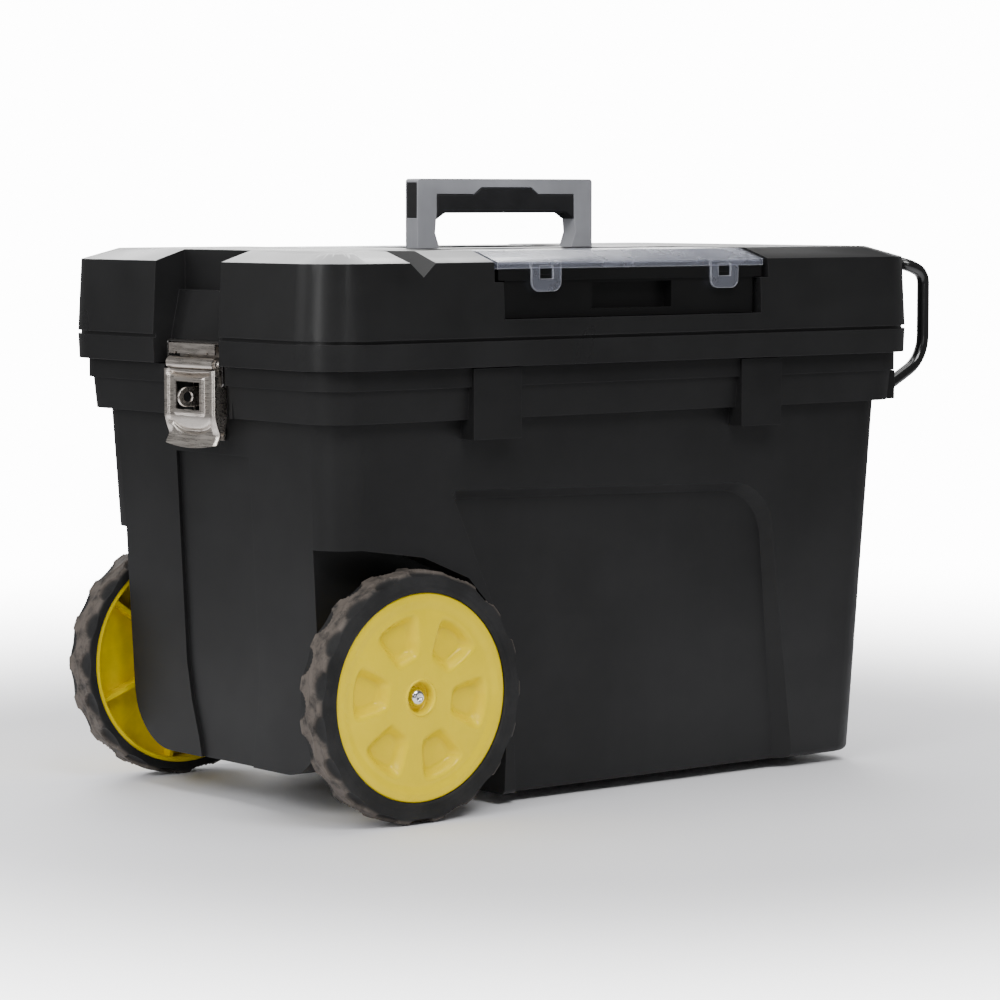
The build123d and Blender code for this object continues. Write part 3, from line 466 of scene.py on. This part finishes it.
def make_wheel(side, sign):
    """Dished yellow disc with six sunken pockets, a deep rim and ribs on its inner side."""
    low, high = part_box(f"wheel_{side}")
    centre = (low + high) / 2
    rim = (high.z - low.z) / 2
    outer, inner = (low.y, high.y) if sign > 0 else (high.y, low.y)
    tyre_low, tyre_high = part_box(f"tyre_{side}")
    tyre_outer, tyre_inner = (tyre_low.y, tyre_high.y) if sign > 0 else (tyre_high.y, tyre_low.y)
    rim_end = abs(tyre_inner - outer) - 0.5 * MM
    lip_end = TYRE_LIP - abs(tyre_outer - outer)
    outline, face = disc_outline(rim, lip_end, rim_end, abs(inner - outer))
    verts = []
    for k in range(DISC_STEPS):
        theta = 360.0 * k / DISC_STEPS
        c, s = math.cos(math.radians(theta)), math.sin(math.radians(theta))
        for i, (r, d) in enumerate(outline):
            if i in face:
                dish = DISH_DEPTH * smooth(DISC_RADIUS - 5 * MM, DISC_RADIUS - 12 * MM, r)
                d = d + dish + pocket_depth(r, theta)
            verts.append((centre.x + r * s, outer + sign * d, centre.z + r * c))
    faces = ring_faces(DISC_STEPS, len(outline))
    # ribs between the pockets stiffen the inner side
    hub = Vector((centre.x, outer, centre.z))
    for k in range(POCKET_COUNT):
        a = math.radians(60 * k + POCKET_PHASE + 30)
        along = Vector((math.sin(a), 0, math.cos(a)))
        across = Vector((math.cos(a), 0, -math.sin(a)))
        start = len(verts)
        for r, below_rim in ((13 * MM, 2.0 * MM), (rim - 3 * MM, 5.0 * MM)):
            for t in (-RIB_HALF_WIDTH, RIB_HALF_WIDTH):
                for d in (10.5 * MM, rim_end - below_rim):
                    verts.append(tuple(hub + Vector((0, sign * d, 0)) + along * r + across * t))
        block = ((0, 1, 3, 2), (4, 6, 7, 5), (0, 4, 5, 1), (2, 3, 7, 6), (0, 2, 6, 4), (1, 5, 7, 3))
        faces += [tuple(start + i for i in quad) for quad in block]
    return make_object(
        f"wheel_disc_{side}", verts, faces, f"wheel_{side}", "wheel_yellow", [f"wheel_{side}"], 40
    )


# a cap's section, from its open end to the dimple: share of its radius, and depth in mm
CAP_SKIRT = [(0.72, 6.3), (0.98, 6.3), (1.0, 6.0), (1.0, 4.9), (0.93, 4.4), (0.93, 3.4)]
CAP_DOME = [(0.86, 2.2), (0.74, 1.1), (0.60, 0.35), (0.46, 0.05), (0.38, 0.0)]
CAP_DIMPLE = [(0.32, 0.25), (0.27, 1.1), (0.16, 1.6), (0.04, 1.7)]


def make_axle_caps():
    """Domed push-on caps with a rolled skirt and a pressed dimple, one on each end of the axle."""
    low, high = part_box("axle_caps")
    x, z = (low.x + high.x) / 2, (low.z + high.z) / 2
    radius = (high.z - low.z) / 2
    around = 48
    outline = CAP_SKIRT + CAP_DOME + CAP_DIMPLE
    verts, faces = [], []
    for end, sign in ((low.y, 1), (high.y, -1)):
        start = len(verts)
        for share, d in outline:
            for i in range(around):
                t = 2 * math.pi * i / around
                r = radius * share
                verts.append((x + r * math.cos(t), end + sign * d * MM, z + r * math.sin(t)))
        grid = ring_faces(len(outline), around, closed_rows=False)
        faces += [tuple(start + v for v in face) for face in grid]
        faces.append(tuple(range(start, start + around)))
        faces.append(tuple(range(len(verts) - around, len(verts)))[::-1])
    return make_object("axle_domes", verts, faces, "tub", "chrome", ["axle_caps"], 40)


for side, sign in (("front", 1), ("back", -1)):
    make_tyre(side, sign)
    make_wheel(side, sign)
make_axle_caps()


# ---------------------------------------------------------------- latch levers
BARREL_RADIUS = 4.7 * MM
SHEET = 1.2 * MM
LEVER_COLUMNS, LEVER_ROWS = 113, 121
# depths are measured inwards from the lever's outermost face, heights from its lower edge
PLATE_BACK = 2.2 * MM
DIP_DEPTH, LIP_RISE = 2.4 * MM, 3.2 * MM
RAIL_RISE, EDGE_FALL = 1.5 * MM, 1.6 * MM
FRAME_RISE, FRAME_HALF_WIDTH, FRAME_HALF_HEIGHT = 1.7 * MM, 17.2 * MM, 12.0 * MM
WINDOW_MIDDLE = 37.2 * MM
WINDOW_HALF_WIDTH, WINDOW_HALF_HEIGHT = 14.8 * MM, 9.8 * MM
CREASE_DEPTH, CREASE_WIDTH = 2.0 * MM, 1.7 * MM
BROW_DEPTH, BROW_WIDTH = 2.4 * MM, 0.9 * MM
LIP_BOW = 3.0 * MM
# a side flange's outline: distance inwards from the outermost face, and height above the floor
FLANGE = [(2.6, 310), (2.4, 285), (6.4, 271), (9.6, 271), (12.2, 280), (12.2, 308), (9.8, 310)]


def lever_depth(y, up, under_pivot, half):
    """How far the pressed sheet lies in from the lever's outermost face."""
    ay = abs(y)
    inner = smooth(half - 4 * MM, half - 7 * MM, ay)
    depth = PLATE_BACK
    depth += DIP_DEPTH * smooth(24 * MM, 12 * MM, up)
    depth -= LIP_RISE * smooth(10.5 * MM, 1.5 * MM, up)
    depth -= RAIL_RISE * smooth(half - 7.5 * MM, half - 5.5 * MM, ay) * smooth(9 * MM, 16 * MM, up)
    depth += EDGE_FALL * smooth(half - 2.2 * MM, half, ay)
    beside = max(0.0, ay - FRAME_HALF_WIDTH)
    above = max(0.0, abs(up - WINDOW_MIDDLE) - FRAME_HALF_HEIGHT)
    depth -= FRAME_RISE * smooth(2.2 * MM, 0.4 * MM, math.hypot(beside, above))
    crease = up - 12.0 * MM - 8.0 * MM * (ay / (half - 5 * MM)) ** 3
    depth += CREASE_DEPTH * math.exp(-((crease / CREASE_WIDTH) ** 2)) * inner
    brow = 6.4 * MM + 1.6 * MM * (1 - (y / half) ** 2) - under_pivot
    return depth + BROW_DEPTH * math.exp(-((brow / BROW_WIDTH) ** 2)) * inner


def make_lever_plate(end, sign, low, high, pivot_z):
    """Pressed plate with side rails, a raised window frame, a dip and a bowed, flared lip."""
    half = (high.y - low.y) / 2
    out_x = low.x if sign > 0 else high.x
    top_z, bottom_z = pivot_z - 4.2 * MM, low.z + 1.2 * MM
    front, back, faces, index = [], [], [], {}
    for i in range(LEVER_ROWS):
        for j in range(LEVER_COLUMNS):
            y = -half + 2 * half * j / (LEVER_COLUMNS - 1)
            z_low = bottom_z - LIP_BOW * (1 - (y / half) ** 2) + 2.0 * MM
            z = top_z + (z_low - top_z) * i / (LEVER_ROWS - 1)
            x = out_x + sign * lever_depth(y, z - low.z, pivot_z - z, half)
            index[i, j] = len(front)
            front.append((x, y, z))
            back.append((x + sign * SHEET, y, z))
    count = len(front)

    def in_window(i, j):
        """Whether the middle of a grid cell lies in the window."""
        _, y1, z1 = front[index[i, j]]
        _, y2, z2 = front[index[i + 1, j + 1]]
        up = (z1 + z2) / 2 - low.z
        return abs((y1 + y2) / 2) < WINDOW_HALF_WIDTH and abs(up - WINDOW_MIDDLE) < WINDOW_HALF_HEIGHT

    grid = [(i, j) for i in range(LEVER_ROWS - 1) for j in range(LEVER_COLUMNS - 1)]
    cells = {cell for cell in grid if not in_window(*cell)}
    for i, j in cells:
        a, b, c, d = index[i, j], index[i, j + 1], index[i + 1, j + 1], index[i + 1, j]
        faces.append((a, b, c, d))
        faces.append((count + d, count + c, count + b, count + a))
        for di, dj, p, q in ((-1, 0, a, b), (1, 0, c, d), (0, 1, b, c), (0, -1, d, a)):
            if (i + di, j + dj) not in cells:
                faces.append((q, p, count + p, count + q))
    lever = f"latch_lever_{end}"
    make_object(f"latch_plate_{end}", front + back, faces, lever, "plated_steel", [lever], 32)


def make_lever_barrel(end, sign, low, high, pivot_z):
    """Rolled barrel of a lever and the two side flanges that hold the wire loop."""
    half = (high.y - low.y) / 2
    out_x = low.x if sign > 0 else high.x
    pivot_x = out_x + sign * (BARREL_RADIUS + 1.4 * MM)
    reach = half - 3.0 * MM
    around = 40
    verts = []
    sections = [(-reach, 0.7), (-reach, 1.0), (reach, 1.0), (reach, 0.7)]
    for y, share in sections:
        for a in range(around):
            t = 2 * math.pi * a / around
            r = BARREL_RADIUS * share
            verts.append((pivot_x + r * math.cos(t), y, pivot_z + r * math.sin(t)))
    faces = ring_faces(len(sections), around, closed_rows=False)
    faces.append(tuple(range(around)))
    faces.append(tuple(range(len(verts) - around, len(verts)))[::-1])
    n = len(FLANGE)
    for flank in (-1, 1):
        start = len(verts)
        for y in (flank * half, flank * (half - SHEET)):
            verts += [(out_x + sign * x * MM, y, z * MM) for x, z in FLANGE]
        faces.append(tuple(range(start, start + n)))
        faces.append(tuple(range(start + n, start + 2 * n))[::-1])
        for i in range(n):
            k = (i + 1) % n
            faces.append((start + i, start + k, start + n + k, start + n + i))
    make_object(f"latch_barrel_{end}", verts, faces, f"latch_lever_{end}", "plated_steel", (), 32)


for end, sign in (("left", 1), ("right", -1)):
    lever_low, lever_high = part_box(f"latch_lever_{end}")
    lever_pivot_z = lever_high.z - BARREL_RADIUS
    make_lever_plate(end, sign, lever_low, lever_high, lever_pivot_z)
    make_lever_barrel(end, sign, lever_low, lever_high, lever_pivot_z)


# ---------------------------------------------------------------- CAD nodes that stay
SLOT_OF = {
    "tub": "body_black",
    "lid": "lid_black",
    "wheel": "wheel_yellow",
    "tyre": "tyre_black",
    "axle": "bright_steel",
    "axle_caps": "chrome",
    "wheel_washers": "bright_steel",
    "organiser_bin": "bin_black",
    "organiser_lid": "clear_plastic",
    "organiser_hinge_pin": "bright_steel",
    "organiser_dividers": "bin_black",
    "carry_handle_frame": "handle_grey",
    "carry_handle_grip": "grip_black",
    "carry_handle_side_grips": "grip_black",
    "carry_handle_pins": "nylon_black",
    "latch_base": "plated_steel",
    "latch_rivets": "plated_steel",
    "padlock_staple": "plated_steel",
    "latch_lever": "plated_steel",
    "latch_pivot_pin": "plated_steel",
    "latch_bail": "wire_steel",
    "strike_plate": "plated_steel",
    "strike_rivets": "plated_steel",
    "tow_handle": "rod_black",
    "tow_bushes": "nylon_black",
    "tow_stops": "nylon_black",
    "tow_guide": "nylon_black",
    "guide_screws": "bright_steel",
    "tote_tray": "tray_black",
    "tote_tray_handle": "tray_black",
}
# width of the rounding on a node's edges, in mm
EDGE_WIDTH = {
    "tub": 1.3,
    "lid": 1.3,
    "organiser_bin": 0.5,
    "organiser_lid": 0.7,
    "carry_handle_frame": 1.2,
    "carry_handle_grip": 1.2,
    "carry_handle_side_grips": 0.6,
    "padlock_staple": 0.5,
    "strike_plate": 0.35,
    "latch_base": 0.3,
    "tote_tray": 0.7,
    "tote_tray_handle": 0.6,
    "tow_guide": 0.6,
    "tow_bushes": 0.4,
}


def family(node):
    """A node's name without its side or end."""
    for tail in ("_front", "_back", "_left", "_right"):
        if node.endswith(tail):
            return node[: -len(tail)]
    return node


def soften(obj, width):
    """Joins a CAD node's split faces and rounds its edges, in modifiers only."""
    weld = obj.modifiers.new("join", "WELD")
    weld.merge_threshold = 0.00001
    flat = obj.modifiers.new("flat", "DECIMATE")
    flat.decimate_type = "DISSOLVE"
    flat.angle_limit = math.radians(0.4)
    if width:
        edge = obj.modifiers.new("edge", "BEVEL")
        edge.width = width * MM
        edge.segments = 2
        edge.limit_method = "ANGLE"
        edge.angle_limit = math.radians(28)
        edge.use_clamp_overlap = True
        edge.miter_outer = "MITER_ARC"
    even = obj.modifiers.new("even", "WEIGHTED_NORMAL")
    even.keep_sharp = False
    even.weight = 100


for name, obj in nodes.items():
    kind = family(name)
    slot = SLOT_OF[kind]
    obj.data.materials.clear()
    obj.data.materials.append(MATERIALS[slot])
    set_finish(obj, slot)
    if not obj.hide_render:
        soften(obj, EDGE_WIDTH.get(kind, 0))
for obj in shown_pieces():
    if "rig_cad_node" not in obj:
        obj.data.materials.append(MATERIALS[obj["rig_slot"]])


# ---------------------------------------------------------------- stage, light and camera
def floor_material():
    """Pale and slightly uneven, clear from the fade radius outwards."""
    m = Nodes("floor_pale")
    length = m.node("ShaderNodeVectorMath", operation="LENGTH")
    m.link(m.place, length.inputs[0])
    fade = m.ramp(length.outputs["Value"], 0.45, 1.7)
    base = m.mix(m.ramp(m.noise(3, 3), 0.3, 0.7), grey(0.92), grey(0.95))
    m.set(Base_Color=base, Roughness=0.7)
    clear = m.node("ShaderNodeBsdfTransparent")
    mixed = m.node("ShaderNodeMixShader")
    m.link(fade, mixed.inputs[0])
    m.link(m.shader.outputs[0], mixed.inputs[1])
    m.link(clear.outputs[0], mixed.inputs[2])
    m.link(mixed.outputs[0], m.output.inputs[0])
    return m.material


def make_floor():
    """Round floor that fades into the backdrop."""
    mesh = bpy.data.meshes.new("floor")
    bm = bmesh.new()
    bmesh.ops.create_circle(bm, cap_ends=True, segments=96, radius=6.0)
    bm.to_mesh(mesh)
    bm.free()
    mesh.materials.append(floor_material())
    floor = bpy.data.objects.new("floor", mesh)
    bpy.context.scene.collection.objects.link(floor)


def softbox(name, location, target, size, power):
    """Soft light that lights the box and isn't seen itself."""
    data = bpy.data.lights.new(name, "AREA")
    data.shape = "RECTANGLE"
    data.size, data.size_y = size
    data.energy = power
    lamp = bpy.data.objects.new(name, data)
    bpy.context.scene.collection.objects.link(lamp)
    lamp.location = location
    lamp.visible_camera = False
    lamp.rotation_mode = "QUATERNION"
    lamp.rotation_quaternion = (Vector(target) - Vector(location)).to_track_quat("-Z", "Y")
    return lamp


# the backdrop's strength as a light, as the camera sees it, and added through clear plastic
WORLD_LIGHT = 0.16
WORLD_SEEN = 14.0
WORLD_THROUGH = 1.0

MIDDLE = (0, 0, 0.25)
LID_HEIGHT = (0, 0, 0.38)
LEFT_CORNER = (-0.25, -0.13, 0.37)
# name, place, target, size and power of each light
SOFTBOXES = [
    ("key", (-2.6, -1.1, 2.2), MIDDLE, (1.6, 1.6), 45),
    ("front_high", (-0.6, -2.3, 2.7), MIDDLE, (1.6, 1.2), 68),
    ("top", (0.1, 0.2, 2.8), MIDDLE, (2.4, 2.0), 50),
    ("behind_high", (1.2, 3.0, 2.1), LID_HEIGHT, (2.6, 1.5), 86),
    ("behind_low", (2.4, 2.9, 0.7), LID_HEIGHT, (2.4, 0.9), 25),
    ("left_back", (-2.5, 1.2, 1.3), MIDDLE, (1.4, 1.4), 17),
    ("corner_strip", (-3.27, -0.72, 0.75), LEFT_CORNER, (0.55, 1.1), 13),
    ("second_strip", (-1.0, -3.05, 0.75), LEFT_CORNER, (0.30, 0.9), 3),
]


def light_scene():
    """White backdrop and the softboxes."""
    world = bpy.data.worlds.new("studio")
    world.use_nodes = True
    tree = world.node_tree
    background = tree.nodes["Background"]
    background.inputs[0].default_value = (1, 1, 1, 1)
    path = tree.nodes.new("ShaderNodeLightPath")
    strength = tree.nodes.new("ShaderNodeMapRange")
    tree.links.new(path.outputs["Is Camera Ray"], strength.inputs[0])
    strength.inputs[3].default_value = WORLD_LIGHT
    strength.inputs[4].default_value = WORLD_SEEN
    through = tree.nodes.new("ShaderNodeMath")
    through.operation = "MULTIPLY_ADD"
    tree.links.new(path.outputs["Is Transmission Ray"], through.inputs[0])
    through.inputs[1].default_value = WORLD_THROUGH
    tree.links.new(strength.outputs[0], through.inputs[2])
    tree.links.new(through.outputs[0], background.inputs[1])
    bpy.context.scene.world = world
    for lamp in SOFTBOXES:
        softbox(*lamp)


CAMERA_PLACE = (-1.7546, -2.1687, 0.4359)
CAMERA_YAW, CAMERA_PITCH = math.radians(38.75), math.radians(4.71)
FOCAL_LENGTH = 132.1


def make_camera():
    """Camera to the left of the front, a little above the lid, looking slightly down."""
    data = bpy.data.cameras.new("camera")
    data.sensor_width = 36.0
    data.lens = FOCAL_LENGTH
    camera = bpy.data.objects.new("camera", data)
    bpy.context.scene.collection.objects.link(camera)
    level = math.cos(CAMERA_PITCH)
    ahead = Vector((math.sin(CAMERA_YAW) * level, math.cos(CAMERA_YAW) * level, -math.sin(CAMERA_PITCH)))
    camera.location = CAMERA_PLACE
    camera.rotation_mode = "QUATERNION"
    camera.rotation_quaternion = ahead.to_track_quat("-Z", "Y")
    bpy.context.scene.camera = camera


make_floor()
light_scene()
make_camera()
